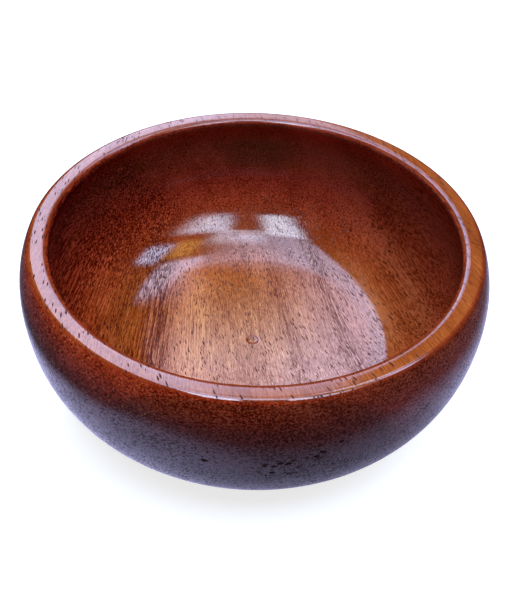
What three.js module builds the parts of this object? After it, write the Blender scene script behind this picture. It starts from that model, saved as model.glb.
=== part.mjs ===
// A turned hardwood bowl: the body, cut on a lathe from one block of wood, and the small
// wooden plug glued into the hole that the lathe's centre left in the middle of the floor.
// Millimetres, +Z up. The origin is the middle of the foot, on the surface the bowl stands on.
import * as THREE from "three";

// Outside of the body
const bowlHeight = 65.7; // table to the top of the rim
const bellyDiameter = 160; // the widest part
const bellyDrop = 18.8; // from the rim's top down to the widest part
const shoulderDrop = 9; // how far below the rim's top the shoulder starts to lean in
const footDiameter = 78;
const heelAngle = 12; // degrees between the table and the wall where it leaves the foot
const outerFullness = 0.6; // 0.55 makes the wall below the belly a quarter ellipse, more is squarer

// Standing ring and the shallow recess turned inside it
const footRingWidth = 10;
const recessDepth = 1.2;
const recessSlope = 2.4; // width of the sloping edge of the recess

// Rim
const rimDiameter = 150.9; // across its outer corner
const rimWidth = 8.1; // outer corner to mouth corner, both as sharp as before they are rounded
const rimOuterEase = 1.4; // how far the rounding of the outer corner reaches
const rimInnerEase = 4.2; // the same at the mouth, where the top rolls over gently

// Inside of the body
const wallThickness = 7.5; // at the belly
const floorThickness = 11.3; // table to the floor's middle
const floorDiameter = 84; // across the dished floor
const floorRise = 3.9; // the floor's edge above its middle
const innerFullness = 0.56; // as outerFullness, for the wall from the floor up to the belly

// Plug in the middle of the floor, and the hole that it fills
const plugDiameter = 4.2;
const plugLength = 5;
const plugDish = 0.15; // how far its top dips inside its edge
const pipWidth = 1.6; // the pip that the cutter left in the middle of its top
const pipHeight = 0.12;
const glueGap = 0.15; // between the plug and the wall of its hole
const dimpleWidth = 0.5; // the floor's dip around the hole
const dimpleDepth = 0.07;

// Fineness of the solids
const turnSteps = 72; // facets around the axis
const longSteps = 10; // along the tall walls
const shortSteps = 6; // along the shoulders and the rounding of the mouth
const edgeSteps = 3; // along the small eased edges

const hardwood = new THREE.MeshStandardMaterial({ color: 0x7a3514, roughness: 0.25, metalness: 0 });
const plugWood = new THREE.MeshStandardMaterial({ color: 0x5c2a12, roughness: 0.3, metalness: 0 });

// Levels and radii that follow from the sizes
const bellyRadius = bellyDiameter / 2;
const bellyHeight = bowlHeight - bellyDrop;
const shoulderHeight = bowlHeight - shoulderDrop;
const footRadius = footDiameter / 2;
const recessRadius = footRadius - footRingWidth;
const rimRadius = rimDiameter / 2;
const mouthRadius = rimRadius - rimWidth;
const hollowRadius = bellyRadius - wallThickness;
const floorRadius = floorDiameter / 2;
const floorCurve = floorRise / floorRadius ** 2; // rise of the dished floor per square millimetre of radius
const plugRadius = plugDiameter / 2;
const holeRadius = plugRadius + glueGap;
const dimpleRadius = holeRadius + dimpleWidth;
const plugTop = floorHeightAt(dimpleRadius) - dimpleDepth; // level of the plug's edge
const holeBottom = plugTop - plugLength;

function floorHeightAt(radius) {
  return floorThickness + floorCurve * radius ** 2;
}

function point(radius, height) {
  return new THREE.Vector2(radius, height);
}

// The point a given distance from one place towards another.
function towards(from, to, distance) {
  return from.clone().add(to.clone().sub(from).setLength(distance));
}

function bend(from, control, to, steps) {
  return new THREE.QuadraticBezierCurve(from, control, to).getPoints(steps);
}

function sweep(from, fromHandle, toHandle, to, steps) {
  return new THREE.CubicBezierCurve(from, fromHandle, toHandle, to).getPoints(steps);
}

// Joins stretches of a section end to end, leaving out the points that two stretches share.
function joined(...stretches) {
  const tooClose = 1e-6;
  return stretches.flat().filter((p, i, all) => i === 0 || p.distanceTo(all[i - 1]) > tooClose);
}

// A solid of revolution about Z from a section that runs from the axis back to the axis.
function turned(section) {
  return new THREE.LatheGeometry(section, turnSteps).rotateX(Math.PI / 2);
}

// Underside: recess, standing ring and the edge of the foot.
function undersideSection() {
  return [
    point(0, recessDepth),
    point(recessRadius - recessSlope, recessDepth),
    point(recessRadius, 0),
    point(footRadius, 0),
  ];
}

// Outer wall from the foot over the belly to the start of the rim's outer corner.
function outerWallSection(rimCornerStart) {
  const foot = point(footRadius, 0);
  const belly = point(bellyRadius, bellyHeight);
  const heel = THREE.MathUtils.degToRad(heelAngle);
  const heelReach = outerFullness * (bellyRadius - footRadius);
  const footHandle = point(footRadius + heelReach, heelReach * Math.tan(heel));
  const bellyHandle = point(bellyRadius, bellyHeight * (1 - outerFullness));
  return joined(
    sweep(foot, footHandle, bellyHandle, belly, longSteps),
    bend(belly, point(bellyRadius, shoulderHeight), rimCornerStart, shortSteps),
  );
}

// Inner wall from the mouth's corner down to the edge of the floor.
function innerWallSection(mouthCornerEnd) {
  const widest = point(hollowRadius, bellyHeight);
  const floorEdge = point(floorRadius, floorHeightAt(floorRadius));
  const drop = innerFullness * (bellyHeight - floorEdge.y);
  const reach = innerFullness * (hollowRadius - floorRadius);
  const edgeSlope = 2 * floorCurve * floorRadius;
  return joined(
    bend(mouthCornerEnd, point(hollowRadius, shoulderHeight), widest, shortSteps),
    sweep(
      widest,
      point(hollowRadius, bellyHeight - drop),
      point(floorRadius + reach, floorEdge.y + reach * edgeSlope),
      floorEdge,
      longSteps,
    ),
  );
}

// The dished floor, its dip around the plug's hole, and the hole itself.
function floorSection() {
  const edge = point(floorRadius, floorHeightAt(floorRadius));
  const dimpleEdge = point(dimpleRadius, floorHeightAt(dimpleRadius));
  const dimpleControl = point((dimpleRadius + holeRadius) / 2, dimpleEdge.y);
  const parabolaControl = point(
    (floorRadius + dimpleRadius) / 2,
    floorThickness + floorCurve * floorRadius * dimpleRadius,
  );
  return joined(
    bend(edge, parabolaControl, dimpleEdge, shortSteps),
    bend(dimpleEdge, dimpleControl, point(holeRadius, plugTop), edgeSteps),
    [point(holeRadius, holeBottom), point(0, holeBottom)],
  );
}

function bowlBody() {
  const outerCorner = point(rimRadius, bowlHeight);
  const mouthCorner = point(mouthRadius, bowlHeight);
  const outerStart = towards(outerCorner, point(bellyRadius, shoulderHeight), rimOuterEase);
  const outerEnd = point(rimRadius - rimOuterEase, bowlHeight);
  const mouthStart = point(mouthRadius + rimInnerEase, bowlHeight);
  const mouthEnd = towards(mouthCorner, point(hollowRadius, shoulderHeight), rimInnerEase);
  const section = joined(
    undersideSection(),
    outerWallSection(outerStart),
    bend(outerStart, outerCorner, outerEnd, edgeSteps),
    bend(mouthStart, mouthCorner, mouthEnd, shortSteps),
    innerWallSection(mouthEnd),
    floorSection(),
  );
  const body = new THREE.Mesh(turned(section), hardwood);
  body.name = "bowl_body";
  return body;
}

function centrePlug() {
  const edge = point(plugRadius, plugTop);
  const pipFoot = point(pipWidth / 2, plugTop - plugDish);
  const pipTop = point(0, pipFoot.y + pipHeight);
  const section = joined(
    [point(0, holeBottom), point(plugRadius, holeBottom)],
    bend(edge, point((plugRadius + pipFoot.x) / 2, pipFoot.y), pipFoot, edgeSteps),
    bend(pipFoot, point(pipFoot.x / 2, pipTop.y), pipTop, edgeSteps),
  );
  const plug = new THREE.Mesh(turned(section), plugWood);
  plug.name = "centre_plug";
  return plug;
}

const bowl = new THREE.Group();
bowl.add(bowlBody(), centrePlug());

export default bowl;
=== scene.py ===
import math

import bpy
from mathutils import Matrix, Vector
from mathutils.geometry import interpolate_bezier


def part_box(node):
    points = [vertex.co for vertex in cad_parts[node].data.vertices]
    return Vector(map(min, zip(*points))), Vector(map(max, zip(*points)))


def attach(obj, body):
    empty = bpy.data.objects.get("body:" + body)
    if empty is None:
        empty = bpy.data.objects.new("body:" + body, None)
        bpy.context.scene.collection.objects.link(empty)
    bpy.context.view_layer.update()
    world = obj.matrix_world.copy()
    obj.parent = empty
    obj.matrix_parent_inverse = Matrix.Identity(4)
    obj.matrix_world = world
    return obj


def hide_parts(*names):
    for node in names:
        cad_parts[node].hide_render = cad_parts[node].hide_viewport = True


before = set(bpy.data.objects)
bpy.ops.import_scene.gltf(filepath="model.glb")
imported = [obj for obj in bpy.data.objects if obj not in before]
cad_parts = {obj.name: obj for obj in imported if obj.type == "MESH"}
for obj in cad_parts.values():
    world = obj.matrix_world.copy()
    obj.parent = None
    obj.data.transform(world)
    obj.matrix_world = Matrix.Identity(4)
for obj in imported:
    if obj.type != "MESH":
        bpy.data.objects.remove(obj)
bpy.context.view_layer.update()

bodyLow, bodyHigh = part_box("bowl_body")
plugLow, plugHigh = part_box("centre_plug")
print("frame loaded, bowl is", [round(high - low, 4) for low, high in zip(bodyLow, bodyHigh)], "m")

mergeDistance = 1e-6            # points closer than this are one
seedSize = 0.001                # plane that is merged to the first point of a section

# Sizes in metres. The height, the belly and the plug come from the frame.
bowl = {
    "height": bodyHigh.z,
    "bellyRadius": bodyHigh.x,
    "bellyDrop": 0.0188,        # rim top down to the widest part
    "shoulderDrop": 0.009,      # where the shoulder starts to lean in
    "footRadius": 0.039,
    "heelAngle": 12,            # degrees
    "heelEase": 0.0008,
    "outerFullness": 0.6,
    "ringWidth": 0.010,         # standing ring
    "ringEase": 0.001,
    "recessDepth": 0.0012,
    "recessEase": 0.05,         # part of the recess taken up by the rounding at its edge
    "recessSlope": 0.0024,
    "slopeEase": 0.4,           # part of the slope taken up at each end
    "rimRadius": 0.07545,
    "rimWidth": 0.0081,
    "rimOuterEase": 0.0014,
    "rimFall": 0.055,           # slope of the rim top towards the mouth
    "rimInnerEase": 0.0042,
    "wall": 0.0075,             # at the belly
    "floorHeight": 0.0113,
    "floorRadius": 0.042,
    "floorRise": 0.0039,
    "innerFullness": 0.56,
    "holeGap": 0.00015,         # around the plug
    "dimpleWidth": 0.0005,
    "dimpleDepth": 0.00007,
    "turnSteps": 192,
    "longSteps": 26,
    "floorSteps": 16,
    "shortSteps": 14,
    "edgeSteps": 8,
    "recessSteps": 6,
    "dimpleSteps": 6,
    "slopeSteps": 5,
    "heelSteps": 4,
    "rimSteps": 4,
}


def spot(radius, height):
    return Vector((radius, 0, height))


def floorAt(radius):
    return bowl["floorHeight"] + bowl["floorRise"] * (radius / bowl["floorRadius"]) ** 2


# one corner of a section, eased from both sides: handles at two thirds make a quadratic curve
def easedCorner(start, corner, end, steps):
    return interpolate_bezier(start, start.lerp(corner, 2 / 3), end.lerp(corner, 2 / 3), end, steps)


# recess and the inner half of the standing ring
def undersideSection():
    recess = bowl["footRadius"] - bowl["ringWidth"]
    middle = spot(0, bowl["recessDepth"])
    slopeTop = spot(recess - bowl["recessSlope"], bowl["recessDepth"])
    slopeFoot = spot(recess, 0)
    roof = [middle.lerp(slopeTop, k / bowl["recessSteps"]) for k in range(bowl["recessSteps"])]
    topStart = slopeTop.lerp(middle, bowl["recessEase"])
    topEnd = slopeTop.lerp(slopeFoot, bowl["slopeEase"])
    footStart = slopeFoot.lerp(slopeTop, bowl["slopeEase"])
    footEnd = spot(recess + bowl["ringEase"], 0)
    return (
        roof
        + easedCorner(topStart, slopeTop, topEnd, bowl["slopeSteps"])
        + easedCorner(footStart, slopeFoot, footEnd, bowl["slopeSteps"])
        + [spot(recess + bowl["ringWidth"] / 2, 0)]
    )


# foot, belly, shoulder and the rim's outer corner
def outerSection():
    foot = spot(bowl["footRadius"], 0)
    belly = spot(bowl["bellyRadius"], bowl["height"] - bowl["bellyDrop"])
    reach = bowl["outerFullness"] * (bowl["bellyRadius"] - bowl["footRadius"])
    footHandle = foot + spot(reach, reach * math.tan(math.radians(bowl["heelAngle"])))
    bellyHandle = spot(bowl["bellyRadius"], belly.z * (1 - bowl["outerFullness"]))
    wall = interpolate_bezier(foot, footHandle, bellyHandle, belly, bowl["longSteps"])
    heelStart = spot(bowl["footRadius"] - bowl["heelEase"], 0)
    heelEnd = (foot + wall[1]) / 2
    corner = spot(bowl["rimRadius"], bowl["height"])
    leanPoint = spot(bowl["bellyRadius"], bowl["height"] - bowl["shoulderDrop"])
    cornerStart = corner + (leanPoint - corner).normalized() * bowl["rimOuterEase"]
    cornerEnd = spot(bowl["rimRadius"] - bowl["rimOuterEase"], bowl["height"])
    return (
        easedCorner(heelStart, foot, heelEnd, bowl["heelSteps"])
        + wall[1:]
        + easedCorner(belly, leanPoint, cornerStart, bowl["shortSteps"])
        + easedCorner(cornerStart, corner, cornerEnd, bowl["edgeSteps"])
    )


# rim top, mouth and the inner wall down to the floor's edge
def innerSection():
    topEdge = bowl["rimRadius"] - bowl["rimOuterEase"]
    mouth = bowl["rimRadius"] - bowl["rimWidth"]
    hollow = bowl["bellyRadius"] - bowl["wall"]

    def rimTopAt(radius):
        return spot(radius, bowl["height"] - bowl["rimFall"] * (topEdge - radius))

    mouthStart = rimTopAt(mouth + bowl["rimInnerEase"])
    mouthCorner = rimTopAt(mouth)
    leanPoint = spot(hollow, bowl["height"] - bowl["shoulderDrop"])
    mouthEnd = mouthCorner + (leanPoint - mouthCorner).normalized() * bowl["rimInnerEase"]
    widest = spot(hollow, bowl["height"] - bowl["bellyDrop"])
    floorEdge = spot(bowl["floorRadius"], floorAt(bowl["floorRadius"]))
    drop = bowl["innerFullness"] * (widest.z - floorEdge.z)
    inward = bowl["innerFullness"] * (hollow - bowl["floorRadius"])
    edgeSlope = 2 * bowl["floorRise"] / bowl["floorRadius"]
    floorHandle = floorEdge + spot(inward, inward * edgeSlope)
    return (
        [rimTopAt(topEdge).lerp(mouthStart, k / bowl["rimSteps"]) for k in range(1, bowl["rimSteps"])]
        + easedCorner(mouthStart, mouthCorner, mouthEnd, bowl["shortSteps"])
        + easedCorner(mouthEnd, leanPoint, widest, bowl["shortSteps"])
        + interpolate_bezier(widest, widest - spot(0, drop), floorHandle, floorEdge, bowl["longSteps"])
    )


# dished floor, its dip around the plug and the plug's hole
def floorSection():
    hole = plugHigh.x + bowl["holeGap"]
    dimple = hole + bowl["dimpleWidth"]
    dish = []
    for k in range(1, bowl["floorSteps"] + 1):
        radius = bowl["floorRadius"] + (dimple - bowl["floorRadius"]) * k / bowl["floorSteps"]
        dish.append(spot(radius, floorAt(radius)))
    dipStart = dish[-1]
    dipCorner = spot((dimple + hole) / 2, dipStart.z)
    dipEnd = spot(hole, dipStart.z - bowl["dimpleDepth"])
    dip = easedCorner(dipStart, dipCorner, dipEnd, bowl["dimpleSteps"])
    return dish + dip + [spot(hole, plugLow.z), spot(0, plugLow.z)]


# end to end, without the points that two stretches share
def joinStretches(*stretches):
    chain = []
    for stretch in stretches:
        for point in stretch:
            if not chain or (point - chain[-1]).length > mergeDistance:
                chain.append(point)
    return chain


# a section drawn by extruding one vertex, then turned round the Z axis
def turnSection(name, section, steps):
    bpy.ops.object.select_all(action="DESELECT")
    bpy.ops.mesh.primitive_plane_add(size=seedSize, location=(0, 0, 0))
    piece = bpy.context.object
    piece.name = name
    piece.data.name = name
    bpy.ops.object.mode_set(mode="EDIT")
    bpy.ops.mesh.select_mode(type="VERT")
    bpy.ops.mesh.select_all(action="SELECT")
    bpy.ops.mesh.merge(type="CENTER")
    bpy.ops.transform.translate(value=section[0])
    for before, after in zip(section, section[1:]):
        bpy.ops.mesh.extrude_region_move(TRANSFORM_OT_translate={"value": after - before})
    bpy.ops.mesh.select_all(action="SELECT")
    bpy.ops.mesh.spin(steps=steps, angle=2 * math.pi, center=(0, 0, 0), axis=(0, 0, 1))
    bpy.ops.mesh.select_all(action="SELECT")
    bpy.ops.mesh.remove_doubles(threshold=mergeDistance)
    bpy.ops.mesh.normals_make_consistent(inside=False)
    bpy.ops.object.mode_set(mode="OBJECT")
    bpy.ops.object.shade_smooth()
    return piece


bowlSection = joinStretches(undersideSection(), outerSection(), innerSection(), floorSection())
turnedBowl = turnSection("turnedBowl", bowlSection, bowl["turnSteps"])
print("bowl turned,", len(turnedBowl.data.polygons), "faces")

plug = {
    "edgeHeight": plugHigh.z,
    "radius": plugHigh.x,
    "seat": plugLow.z,
    "dish": 0.00015,            # dip of its top inside the edge
    "pipRadius": 0.0008,
    "pipHeight": 0.00012,
    "edgeSteps": 8,
    "turnSteps": 64,
}


def plugSection():
    edge = spot(plug["radius"], plug["edgeHeight"])
    pipFoot = spot(plug["pipRadius"], edge.z - plug["dish"])
    pipTop = spot(0, pipFoot.z + plug["pipHeight"])
    side = [spot(0, plug["seat"]), spot(plug["radius"], plug["seat"])]
    dish = easedCorner(edge, spot((edge.x + pipFoot.x) / 2, pipFoot.z), pipFoot, plug["edgeSteps"])
    pip = easedCorner(pipFoot, spot(pipFoot.x / 2, pipTop.z), pipTop, plug["edgeSteps"])
    return joinStretches(side, dish, pip)


centrePellet = turnSection("centrePellet", plugSection(), plug["turnSteps"])
print("pellet turned,", len(centrePellet.data.polygons), "faces")


# node helpers
def addNode(tree, kind, inputs=None, **settings):
    made = tree.nodes.new(kind)
    for key, value in settings.items():
        setattr(made, key, value)
    for key, value in (inputs or {}).items():
        if isinstance(value, bpy.types.NodeSocket):
            tree.links.new(value, made.inputs[key])
        else:
            made.inputs[key].default_value = value
    return made


def calc(tree, operation, *values):
    return addNode(tree, "ShaderNodeMath", dict(enumerate(values)), operation=operation).outputs[0]


def vectorCalc(tree, operation, *values):
    made = addNode(tree, "ShaderNodeVectorMath", dict(enumerate(values)), operation=operation)
    return made.outputs["Vector" if operation == "MULTIPLY" else "Value"]


def times(tree, first, *others):
    for other in others:
        first = calc(tree, "MULTIPLY", first, other)
    return first


def opposite(tree, share):
    return calc(tree, "SUBTRACT", 1.0, share)


def stepRange(tree, value, low, high, toLow=0.0, toHigh=1.0):
    inputs = {"Value": value, "From Min": low, "From Max": high, "To Min": toLow, "To Max": toHigh}
    return addNode(tree, "ShaderNodeMapRange", inputs, interpolation_type="SMOOTHSTEP").outputs[0]


def splitAxes(tree, vector):
    return addNode(tree, "ShaderNodeSeparateXYZ", {0: vector}).outputs


def joinAxes(tree, *values):
    return addNode(tree, "ShaderNodeCombineXYZ", dict(enumerate(values))).outputs[0]


def blend(tree, factor, first, second, kind="MIX"):
    inputs = {0: factor, 6: first, 7: second}
    return addNode(tree, "ShaderNodeMix", inputs, data_type="RGBA", blend_type=kind).outputs[2]


def ramp(tree, value, stops, interpolation):
    made = addNode(tree, "ShaderNodeValToRGB", {0: value})
    made.color_ramp.interpolation = interpolation
    elements = made.color_ramp.elements
    while len(elements) < len(stops):
        elements.new(0.5)
    for element, (place, colour) in zip(elements, stops):
        element.position = place
        element.color = colour + (1,)
    return made.outputs[0]


def newMaterial(name):
    material = bpy.data.materials.new(name)
    material.use_nodes = True
    material.node_tree.nodes.clear()
    return material, material.node_tree


# Wood. Lengths are in mm and scales per mm, across and along the fibres. Heights are above the table.
wood = {
    "fan": 0.0042,              # how fast the fibres draw together towards the back
    "fanPivot": 36,             # fibres run straight this far left of the middle
    "ringTilt": 0.74,           # growth layers lean over
    "ringLevel": 12,
    "drift": 10.0,              # and wander
    "driftScale": (0.025, 0.006, 0.025),
    "noiseDetail": 2.0,
    "noiseRoughness": 0.55,
    "middleTone": 0.64,
    "layers": (0.13, 3.0, 0.26),        # scale, detail, depth
    "fineLayers": (0.9, 2.0, 0.12),
    "turningMarks": (1.6, 1.0, 0.16),
    "patches": (0.09, 0.03, 0.55),      # scale across and along, depth
    "streaks": (3.6, 0.10, 1.15),
    "fibres": (5.0, 0.55, 1.20),
    "speckle": (1.9, 0.42, 1.90),       # on steep surfaces
    "speckleDetail": 1.0,
    "lightLines": (2.2, 0.06),
    "lightLineLimits": (0.57, 0.67),
    "lightLineDepth": 0.12,
    "wallLineDepth": 0.40,      # more of them on steep surfaces
    "darkLines": (1.8, 0.03),   # the bands below are broken up into these
    "darkLineLimits": (0.43, 0.56),
    "darkLineDepth": 1.8,
    "bandCore": 0.2,            # part of its half width where a band is full
    "floorBands": [             # place across the layers, half width, darkening
        (-46, 8, 0.12),
        (-36.5, 7.5, 0.26),
        (-22, 8, -0.14),
        (3, 3, 0.10),
        (14, 5, 0.10),
        (37, 6, 0.20),
        (58, 10, -0.15),
    ],
    "innerBands": [
        (-50, 14, 0.26),
        (-31, 14, 0.32),
        (72, 14, -0.42),
        (106, 14, -0.32),
    ],
    "rimBands": [
        (108, 30, 0.08),
    ],
    "outerBands": [
        (-30, 14, 0.08),
        (20, 16, 0.10),
    ],
    "tones": [
        (0.00, (0.066, 0.0088, 0.0029)),
        (0.30, (0.142, 0.0270, 0.0042)),
        (0.55, (0.265, 0.0706, 0.0098)),
        (0.80, (0.407, 0.1297, 0.0205)),
        (1.00, (0.530, 0.2158, 0.0500)),
    ],
    # painted shade and light: steep, overhanging and downward faces darker and redder than level ones, with
    # a painted bluish haze of reflection low on the outside
    "slopeShadeTints": [             # how level the surface lies, from 1 level to -1 upside down, and its tint
        (-0.95, (0.80, 0.45, 0.60)),
        (-0.72, (1.00, 0.27, 0.85)),
        (-0.10, (0.52, 0.20, 0.85)),
        (0.15, (0.63, 0.19, 0.55)),
        (0.40, (0.70, 0.225, 0.45)),
        (0.65, (0.71, 0.265, 0.42)),
        (0.85, (0.69, 0.34, 0.44)),
        (0.95, (0.73, 0.52, 0.62)),
        (0.985, (0.90, 0.66, 0.72)),
        (1.00, (1.00, 1.00, 1.00)),
    ],
    "steepLimits": (0.6, 0.97),         # lie of the surface: steep up to the first, level from the second
    # end grain is darker; the same tint is also painted as shade over a wider spread of the outside
    "endGrainTint": (0.62, 0.78, 0.90),
    "endGrainLimits": (0.96, 1.0),      # how squarely the surface faces along the fibres
    "outsideShadeFacing": 0.12,            # painted shade: the outside counts as facing them more, so more of it is darkened
    "rightTint": (0.88, 1.12, 1.00),    # painted light: the right wall is made more golden
    "rightLimits": (-0.35, -0.75),      # how far it faces to the left, as negative numbers
    # painted shade: the outside's red is turned down
    "outsideTint": (0.88, 1.00, 1.00),
    "shoulderTint": (1.50, 1.26, 1.00),     # painted light and shade: the shoulder is lit brighter on the left, shaded darker on the right
    "shoulderLimits": (-0.05, 0.30),
    "dullShoulderTint": (0.74, 0.92, 1.04),
    "shadedShoulderLimits": (0.25, 0.50),
    "shoulderHeights": (54, 63),
    "rimTint": (0.84, 0.64, 0.76),
    "rimHeights": (64.4, 65.4),         # the rim is toned from here up
    "rimTone": 0.66,                    # its figure is evened out towards this tone
    "rimEven": 0.45,
    "poreTint": (0.034, 0.006, 0.004),
    "poreDepth": 0.9,
    "poreCore": 0.65,                   # part of its radius where a pore is full
    "poreSlant": 0.20,                  # vessels cross the growth layers at this slope
    "pores": (0.66, 3.9, 0.34, 0.5),    # cell across and along, radius in cells, share of cells
    "longPores": (1.8, 8.0, 0.17, 0.5),
    "crowding": (0.10, 0.035),          # more pores in some parts
    "crowdingLimits": (0.40, 0.60),
    "crowdingShares": (0.35, 1.3),
    "pits": (1.8, 6.0, 0.48, 0.80),     # torn out of the front: numbers as for pores
    "pitClusters": [                    # place along x, height, reach
        (-13, 43, 4),
        (9, 41.5, 8),
        (19, 46.5, 4),
        (27, 50, 3.5),
    ],
    "clusterCore": 0.5,
    "glints": (0.64, 2.4, 0.27, 0.45),  # painted highlights: pores lit pale, high on the left outside
    "glintHeights": (45, 53),
    "glintLimits": (-0.45, -0.15),
    "glintTint": (0.50, 0.17, 0.045),
    "pelletTint": (0.85, 0.85, 0.85),
    "roughness": 0.5,
    "poreRoughness": 0.2,               # added in the pores
    "waveScale": 0.35,                  # slow waves of the surface
    "waveHeight": 0.5,
    "figureHeight": 0.3,
    "bumpDistance": 0.0001,             # metres
    "bumpStrength": 0.5,
    "filmStrength": 0.10,               # the lacquer follows the wood less closely
    "filmOnWalls": 0.25,
    "filmOnFloor": 0.10,
    "floorLimits": (0.965, 0.985),
    "lacquerRoughness": 0.04,
    "lacquerGloss": 1.5,
    "sheenTones": (0.15, 0.75),         # sunk into dark open grain, glossy on dense light wood
    "sheenShares": (0.25, 1.0),
    "rimSheen": 0.88,
}
mmPerMetre = 1000
noiseMiddle = 0.5               # noise swings about this value


def noise(tree, vector, detail=wood["noiseDetail"]):
    inputs = {"Vector": vector, "Scale": 1.0, "Detail": detail, "Roughness": wood["noiseRoughness"]}
    return addNode(tree, "ShaderNodeTexNoise", inputs).outputs[0]


def lineNoise(tree, value, scale, detail):
    inputs = {"W": calc(tree, "MULTIPLY", value, scale), "Scale": 1.0, "Detail": detail}
    return addNode(tree, "ShaderNodeTexNoise", inputs, noise_dimensions="1D").outputs[0]


# where each point lies in the wood and on the bowl
def woodPlace(tree):
    coords = addNode(tree, "ShaderNodeTexCoord").outputs
    mm = vectorCalc(tree, "MULTIPLY", coords["Object"], (mmPerMetre, mmPerMetre, mmPerMetre))
    x, y, z = splitAxes(tree, mm)
    faceX, faceY, faceZ = splitAxes(tree, coords["Normal"])

    drift = noise(tree, vectorCalc(tree, "MULTIPLY", mm, wood["driftScale"]))
    drift = calc(tree, "MULTIPLY", calc(tree, "SUBTRACT", drift, noiseMiddle), wood["drift"])
    lean = times(tree, calc(tree, "ADD", x, wood["fanPivot"]), calc(tree, "MULTIPLY", y, wood["fan"]))
    across = calc(tree, "ADD", x, lean)
    rise = calc(tree, "MULTIPLY", calc(tree, "SUBTRACT", z, wood["ringLevel"]), wood["ringTilt"])

    flat = vectorCalc(tree, "MULTIPLY", mm, (1, 1, 0))
    outside = calc(tree, "GREATER_THAN", vectorCalc(tree, "DOT_PRODUCT", flat, coords["Normal"]), 0.0)
    inside = opposite(tree, outside)
    steep = stepRange(tree, calc(tree, "ABSOLUTE", faceZ), *wood["steepLimits"], 1.0, 0.0)
    level = opposite(tree, steep)
    outer = times(tree, steep, outside)
    rim = stepRange(tree, z, *wood["rimHeights"])
    shoulder = times(tree, outer, stepRange(tree, z, *wood["shoulderHeights"]))
    # how squarely the surface faces along the fibres, raised on the outside for painted shade
    endFacingAndShade = calc(tree, "MULTIPLY_ADD", outside, wood["outsideShadeFacing"], calc(tree, "ABSOLUTE", faceY))
    high = stepRange(tree, z, *wood["glintHeights"])
    return {
        "mm": mm,
        "x": x,
        "y": y,
        "z": z,
        "lie": faceZ,
        "across": across,
        "ring": calc(tree, "ADD", calc(tree, "ADD", across, rise), drift),
        "radius": vectorCalc(tree, "LENGTH", flat),
        "steep": steep,
        "floor": times(tree, level, opposite(tree, rim)),
        "inner": times(tree, steep, inside),
        "rimTop": times(tree, level, rim),
        "outside": outer,
        "rim": rim,
        "endGrain": stepRange(tree, endFacingAndShade, *wood["endGrainLimits"]),
        # painted light on the right wall
        "right": stepRange(tree, times(tree, faceX, inside), *wood["rightLimits"]),
        # painted light on the left of the shoulder, painted shade on its right
        "shoulder": times(tree, shoulder, stepRange(tree, faceX, *wood["shoulderLimits"], 1.0, 0.0)),
        "dullShoulder": times(tree, shoulder, stepRange(tree, faceX, *wood["shadedShoulderLimits"])),
        "highLeft": times(tree, outer, high, stepRange(tree, faceX, *wood["glintLimits"], 1.0, 0.0)),
        "front": times(tree, outer, calc(tree, "LESS_THAN", y, 0.0)),
    }


# coordinates drawn out along the fibres
def stretched(tree, place, acrossScale, alongScale, slant=0.0):
    side = calc(tree, "MULTIPLY_ADD", place["y"], slant, place["across"])
    return joinAxes(
        tree,
        calc(tree, "MULTIPLY", side, acrossScale),
        calc(tree, "MULTIPLY", place["y"], alongScale),
        calc(tree, "MULTIPLY", place["z"], acrossScale),
    )


# light and dark of the figure
def woodTone(tree, place):
    def swing(value, depth):
        return calc(tree, "MULTIPLY", calc(tree, "SUBTRACT", value, noiseMiddle), depth)

    tone = wood["middleTone"]
    for figure, along in (("layers", "ring"), ("fineLayers", "ring"), ("turningMarks", "radius")):
        scale, detail, depth = wood[figure]
        tone = calc(tree, "ADD", tone, swing(lineNoise(tree, place[along], scale, detail), depth))
    for figure in ("patches", "streaks", "fibres"):
        acrossScale, alongScale, depth = wood[figure]
        pattern = noise(tree, stretched(tree, place, acrossScale, alongScale))
        tone = calc(tree, "ADD", tone, swing(pattern, depth))

    lightLines = noise(tree, stretched(tree, place, *wood["lightLines"]))
    lineDepth = calc(tree, "MULTIPLY_ADD", place["steep"], wood["wallLineDepth"], wood["lightLineDepth"])
    tone = calc(tree, "MULTIPLY_ADD", stepRange(tree, lightLines, *wood["lightLineLimits"]), lineDepth, tone)
    acrossScale, alongScale, depth = wood["speckle"]
    grains = noise(tree, stretched(tree, place, acrossScale, alongScale), wood["speckleDetail"])
    tone = calc(tree, "MULTIPLY_ADD", swing(grains, depth), place["steep"], tone)

    darkLines = noise(tree, stretched(tree, place, *wood["darkLines"]))
    darkLines = stepRange(tree, darkLines, *wood["darkLineLimits"], 0.0, wood["darkLineDepth"])
    for surface, bands in (
        ("floor", "floorBands"),
        ("inner", "innerBands"),
        ("rimTop", "rimBands"),
        ("outside", "outerBands"),
    ):
        for centre, width, depth in wood[bands]:
            away = calc(tree, "ABSOLUTE", calc(tree, "SUBTRACT", place["ring"], centre))
            shade = stepRange(tree, away, width * wood["bandCore"], width, depth, 0.0)
            tone = calc(tree, "SUBTRACT", tone, times(tree, shade, place[surface], darkLines))

    even = calc(tree, "MULTIPLY", place["rim"], wood["rimEven"])
    return calc(tree, "MULTIPLY_ADD", calc(tree, "SUBTRACT", wood["rimTone"], tone), even, tone)
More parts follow.
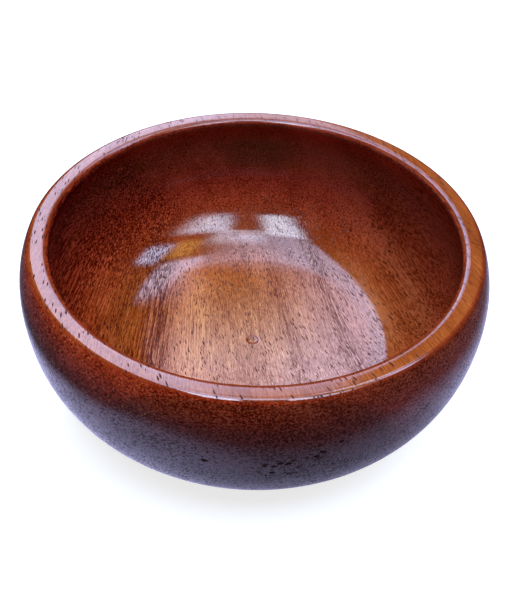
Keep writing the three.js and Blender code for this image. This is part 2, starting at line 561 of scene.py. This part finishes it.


# pores, and painted highlights on some of them: vessels, thin and long, cut through where they meet the
# surface
def woodPores(tree, place):
    crowded = noise(tree, stretched(tree, place, *wood["crowding"]))
    crowded = stepRange(tree, crowded, *wood["crowdingLimits"], *wood["crowdingShares"])

    def vessels(acrossSize, alongSize, radius, keep):
        vector = stretched(tree, place, 1 / acrossSize, 1 / alongSize, wood["poreSlant"])
        inputs = {"Vector": vector, "Scale": 1.0, "Randomness": 1.0}
        cell = addNode(tree, "ShaderNodeTexVoronoi", inputs).outputs
        within = stepRange(tree, cell["Distance"], radius * wood["poreCore"], radius, 1.0, 0.0)
        chance = splitAxes(tree, cell["Color"])[0]
        return times(tree, within, calc(tree, "LESS_THAN", chance, calc(tree, "MULTIPLY", crowded, keep)))

    pores = calc(tree, "MAXIMUM", vessels(*wood["pores"]), vessels(*wood["longPores"]))
    torn = times(tree, vessels(*wood["pits"]), place["front"])
    upright = joinAxes(tree, place["x"], place["z"])
    for besideX, height, reach in wood["pitClusters"]:
        away = vectorCalc(tree, "DISTANCE", upright, (besideX, height, 0))
        cluster = stepRange(tree, away, reach * wood["clusterCore"], reach, 1.0, 0.0)
        pores = calc(tree, "MAXIMUM", pores, times(tree, torn, cluster))
    return pores, times(tree, vessels(*wood["glints"]), place["highLeft"])


def woodColour(tree, place, tone, pores, glints, tint):
    tones = [(at, tuple(c * t for c, t in zip(colour, tint))) for at, colour in wood["tones"]]
    slopeShadeStops = [((lie + 1) / 2, colour) for lie, colour in wood["slopeShadeTints"]]
    # painted shade and light by how level the surface lies
    slopeShade = ramp(tree, calc(tree, "MULTIPLY_ADD", place["lie"], 0.5, 0.5), slopeShadeStops, "LINEAR")
    colour = blend(tree, 1.0, ramp(tree, tone, tones, "EASE"), slopeShade, "MULTIPLY")
    # tints by part: painted shade on the outside, painted light and shade on the shoulder, painted light on
    # the right wall, end grain darker with painted shade added on the outside, and the rim tint
    for surface in ("endGrain", "outside", "shoulder", "dullShoulder", "rim", "right"):
        colour = blend(tree, place[surface], colour, wood[surface + "Tint"] + (1,), "MULTIPLY")
    colour = blend(tree, calc(tree, "MULTIPLY", pores, wood["poreDepth"]), colour, wood["poreTint"] + (1,))
    # painted highlights
    return blend(tree, glints, colour, wood["glintTint"] + (1,))


def lacqueredWood(name, tint):
    material, tree = newMaterial(name)
    place = woodPlace(tree)
    tone = woodTone(tree, place)
    pores, glints = woodPores(tree, place)

    waveInputs = {"Vector": place["mm"], "Scale": wood["waveScale"], "Detail": wood["noiseDetail"]}
    waves = addNode(tree, "ShaderNodeTexNoise", waveInputs).outputs[0]
    height = calc(tree, "SUBTRACT", calc(tree, "MULTIPLY", waves, wood["waveHeight"]), pores)
    height = calc(tree, "MULTIPLY_ADD", tone, wood["figureHeight"], height)

    def surface(strength):
        inputs = {"Height": height, "Strength": strength, "Distance": wood["bumpDistance"]}
        return addNode(tree, "ShaderNodeBump", inputs).outputs[0]

    film = calc(tree, "MULTIPLY_ADD", place["steep"], wood["filmOnWalls"], wood["filmStrength"])
    onFloor = stepRange(tree, place["lie"], *wood["floorLimits"], 0.0, wood["filmOnFloor"])
    sheen = stepRange(tree, tone, *wood["sheenTones"], *wood["sheenShares"])
    sheen = calc(tree, "MAXIMUM", sheen, calc(tree, "MULTIPLY", place["rim"], wood["rimSheen"]))
    sheen = times(tree, sheen, calc(tree, "MULTIPLY_ADD", pores, -wood["poreDepth"], 1.0))
    shader = addNode(tree, "ShaderNodeBsdfPrincipled", {
        "Base Color": woodColour(tree, place, tone, pores, glints, tint),
        "Roughness": calc(tree, "MULTIPLY_ADD", pores, wood["poreRoughness"], wood["roughness"]),
        "Specular IOR Level": 0.0,      # only the lacquer shines
        "Normal": surface(wood["bumpStrength"]),
        "Coat Normal": surface(calc(tree, "ADD", film, onFloor)),
        "Coat Weight": sheen,
        "Coat Roughness": wood["lacquerRoughness"],
        "Coat IOR": wood["lacquerGloss"],
    })
    addNode(tree, "ShaderNodeOutputMaterial", {"Surface": shader.outputs[0]})
    return material


turnedBowl.data.materials.append(lacqueredWood("lacqueredHardwood", (1, 1, 1)))
centrePellet.data.materials.append(lacqueredWood("pelletEndGrain", wood["pelletTint"]))
print("wood finished")

for piece, node, slot in (
    (turnedBowl, "bowl_body", "lacquered_hardwood"),
    (centrePellet, "centre_plug", "plug_wood"),
):
    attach(piece, "root")
    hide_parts(node)

# Pale sheet that the bowl stands on. It is white to the eye, and glows softly in the bowl's gloss: painted
# light, with a painted shadow of the bowl in front of it.
sheet = {
    "left": -0.26,
    "right": 0.30,
    "near": -0.20,
    "far": 0.45,
    "seenTint": (0.45, 0.45, 0.45),
    "seenGlow": 0.78,
    "seenGlowTint": (1.0, 1.0, 1.0),
    "glossTint": (0.74, 0.72, 1.20),
    "glossLeft": (-0.125, -0.095),      # from no glow to full glow
    "glossRight": (0.172, 0.095),
    "glossNear": (-0.150, -0.090),
    "nearSkew": 0.24,                   # the near side of the glow runs askew to the right of this place
    "nearSkewFrom": -0.04,
    "leftSkew": 0.30,                   # and the left side in front of this one
    "leftSkewFrom": -0.05,
    "glossFall": (-0.05, 0.09),         # painted light, brighter to the left than to the right
    "glossFallShares": (1.18, 0.88),
    "shadeMiddle": (0.04, -0.068, 0),   # painted shadow of the bowl on the sheet in front of it
    "shadeReach": (0.03, 0.095),
    "shadeDepth": 0.45,
    "bounceTint": (0.06, 0.06, 0.065),
    "roughness": 0.8,
    "shine": 0.1,
}


# how strongly each place of the sheet shows in the gloss, as painted light with a painted shadow of the bowl
def sheetGloss(tree):
    place = addNode(tree, "ShaderNodeTexCoord").outputs["Object"]
    x, y, _ = splitAxes(tree, place)
    nearCorner = calc(tree, "MINIMUM", calc(tree, "SUBTRACT", y, sheet["leftSkewFrom"]), 0.0)
    fromLeft = calc(tree, "MULTIPLY_ADD", nearCorner, sheet["leftSkew"], x)
    rightCorner = calc(tree, "MAXIMUM", x, sheet["nearSkewFrom"])
    fromNear = calc(tree, "MULTIPLY_ADD", rightCorner, -sheet["nearSkew"], y)
    fromShade = vectorCalc(tree, "DISTANCE", place, sheet["shadeMiddle"])
    rightNone, rightFull = sheet["glossRight"]
    return times(
        tree,
        stepRange(tree, fromLeft, *sheet["glossLeft"]),
        stepRange(tree, x, rightFull, rightNone, 1.0, 0.0),
        stepRange(tree, fromNear, *sheet["glossNear"]),
        stepRange(tree, fromShade, *sheet["shadeReach"], 1.0 - sheet["shadeDepth"], 1.0),
        stepRange(tree, x, *sheet["glossFall"], *sheet["glossFallShares"]),
    )


def paleSheet():
    material, tree = newMaterial("paleSheet")
    rays = addNode(tree, "ShaderNodeLightPath").outputs
    toCamera = rays["Is Camera Ray"]

    def eitherWay(inGloss, seen):
        return blend(tree, toCamera, inGloss + (1,), seen + (1,))

    seenShare = calc(tree, "MULTIPLY", toCamera, sheet["seenGlow"])
    glossShare = calc(tree, "MULTIPLY", rays["Is Glossy Ray"], sheetGloss(tree))
    shader = addNode(tree, "ShaderNodeBsdfPrincipled", {
        "Base Color": eitherWay(sheet["bounceTint"], sheet["seenTint"]),
        "Roughness": sheet["roughness"],
        "Specular IOR Level": sheet["shine"],
        "Emission Color": eitherWay(sheet["glossTint"], sheet["seenGlowTint"]),
        "Emission Strength": calc(tree, "ADD", seenShare, glossShare),
    })
    addNode(tree, "ShaderNodeOutputMaterial", {"Surface": shader.outputs[0]})
    return material


bpy.ops.object.select_all(action="DESELECT")
bpy.ops.mesh.primitive_plane_add(size=1, location=(0, 0, 0))
floor = bpy.context.object
floor.name = "paleFloor"
bpy.ops.transform.resize(value=(sheet["right"] - sheet["left"], sheet["far"] - sheet["near"], 1))
sheetMiddle = ((sheet["left"] + sheet["right"]) / 2, (sheet["near"] + sheet["far"]) / 2, 0)
bpy.ops.transform.translate(value=sheetMiddle)
bpy.ops.object.transform_apply(location=True, rotation=True, scale=True)
floor.data.materials.append(paleSheet())
print("sheet laid")

# Soft boxes, all level and at one height. Sides and soft edges are given in parts of that height.
# fade: left, right, near and far edge. lean: part of the width cut off the left edge at its near end.
lampHeight = 4.0                # metres
lampStep = 1.002                # each box a little higher, so that no two lie in one plane
skyTint = (0.50, 0.64, 1.0)
whiteTint = (0.65, 0.78, 1.0)
goldTint = (1.0, 0.68, 0.12)
lamps = {
    "mainStrip": {
        "x": (-0.70, 0.03), "y": (-0.04, 2.4), "lean": 0.592, "glow": 9.0, "tint": skyTint,
        "fade": (0.02, 0.26, 0.08, 0.2),
    },
    "farPanel": {
        "x": (-0.19, 0.17), "y": (0.56, 2.2), "lean": 0, "glow": 5.3, "tint": skyTint,
        "fade": (0.10, 0.06, 0.65, 0.2),
    },
    "overheadPanel": {
        "x": (-0.22, 0.22), "y": (-0.03, 0.63), "lean": 0, "glow": 6.5, "tint": skyTint,
        "fade": (0.14, 0.22, 0.08, 0.14),
    },
    "nearBridge": {
        "x": (-0.06, 0.27), "y": (-0.11, 0.26), "lean": 0, "glow": 9.7, "tint": whiteTint,
        "fade": (0.05, 0.10, 0.05, 0.22),
    },
    "nearLeftBox": {
        "x": (-0.28, -0.035), "y": (-0.53, 0.04), "lean": 0, "glow": 21.0, "tint": whiteTint,
        "fade": (0.02, 0.02, 0.06, 0.08),
    },
    "nearRightBox": {
        "x": (0.12, 0.68), "y": (-0.60, -0.01), "lean": 0.20, "glow": 16.2, "tint": whiteTint,
        "fade": (0.02, 0.38, 0.22, 0.12),
    },
    "rightLobe": {
        "x": (0.10, 0.42), "y": (0.34, 0.86), "lean": 0, "glow": 10.5, "tint": skyTint,
        "fade": (0.08, 0.08, 0.10, 0.20),
    },
    "rightBlob": {
        "x": (0.40, 0.78), "y": (0.07, 0.43), "lean": 0, "glow": 17.5, "tint": skyTint,
        "fade": (0.08, 0.14, 0.12, 0.10),
    },
    "goldPatch": {
        "x": (0.22, 0.44), "y": (0.04, 0.36), "lean": 0, "glow": 3.2, "tint": goldTint,
        "fade": (0.06, 0.06, 0.06, 0.06),
    },
}


# a soft box glows fully in the middle and dims towards its edges
def softEdges(light, fade, lean, width, length):
    light.data.use_nodes = True
    tree = light.data.node_tree
    u, v, _ = splitAxes(tree, addNode(tree, "ShaderNodeNewGeometry").outputs["Parametric"])
    fromLeft = calc(tree, "SUBTRACT", u, calc(tree, "MULTIPLY", opposite(tree, v), lean))
    left, right, near, far = fade
    glow = times(
        tree,
        stepRange(tree, fromLeft, 0.0, left / width),
        stepRange(tree, u, 1.0 - right / width, 1.0, 1.0, 0.0),
        stepRange(tree, v, 0.0, near / length),
        stepRange(tree, v, 1.0 - far / length, 1.0, 1.0, 0.0),
    )
    tree.links.new(glow, tree.nodes["Emission"].inputs["Strength"])


for name, lamp in lamps.items():
    width = lamp["x"][1] - lamp["x"][0]
    length = lamp["y"][1] - lamp["y"][0]
    middle = Vector((sum(lamp["x"]) / 2, sum(lamp["y"]) / 2, 1.0)) * lampHeight
    bpy.ops.object.light_add(type="AREA", location=middle)
    light = bpy.context.object
    light.name = name
    light.data.shape = "RECTANGLE"
    light.data.size = width * lampHeight
    light.data.size_y = length * lampHeight
    light.data.color = lamp["tint"]
    light.data.energy = lamp["glow"] * math.pi * width * length * lampHeight ** 2
    light.visible_camera = False
    softEdges(light, lamp["fade"], lamp["lean"], width, length)
    lampHeight *= lampStep
print("soft boxes placed")

# White behind the object for the camera, nearly dark for everything the surfaces mirror.
backdrop = {"seen": (1, 1, 1, 1), "mirrored": (0.03, 0.03, 0.035, 1)}
world = bpy.data.worlds.new("studio")
bpy.context.scene.world = world
world.use_nodes = True
studio = world.node_tree
studio.nodes.clear()
toCamera = addNode(studio, "ShaderNodeLightPath").outputs["Is Camera Ray"]
mirrored = addNode(studio, "ShaderNodeBackground", {"Color": backdrop["mirrored"]}).outputs[0]
seen = addNode(studio, "ShaderNodeBackground", {"Color": backdrop["seen"]}).outputs[0]
both = addNode(studio, "ShaderNodeMixShader", {0: toCamera, 1: mirrored, 2: seen})
addNode(studio, "ShaderNodeOutputWorld", {"Surface": both.outputs[0]})
bpy.context.scene.view_settings.view_transform = "Standard"

view = {
    "place": (0, -0.21181, 0.23003),
    "turn": (46.914, -1.587, 1.380),    # degrees
    "lens": 47.758,                     # mm
    "sensor": 36,
    "clipStart": 0.01,
}
bpy.ops.object.camera_add(location=view["place"], rotation=[math.radians(a) for a in view["turn"]])
camera = bpy.context.object
camera.name = "photoView"
camera.data.lens = view["lens"]
camera.data.sensor_width = view["sensor"]
camera.data.sensor_fit = "AUTO"
camera.data.clip_start = view["clipStart"]
bpy.context.scene.camera = camera
print("camera set")
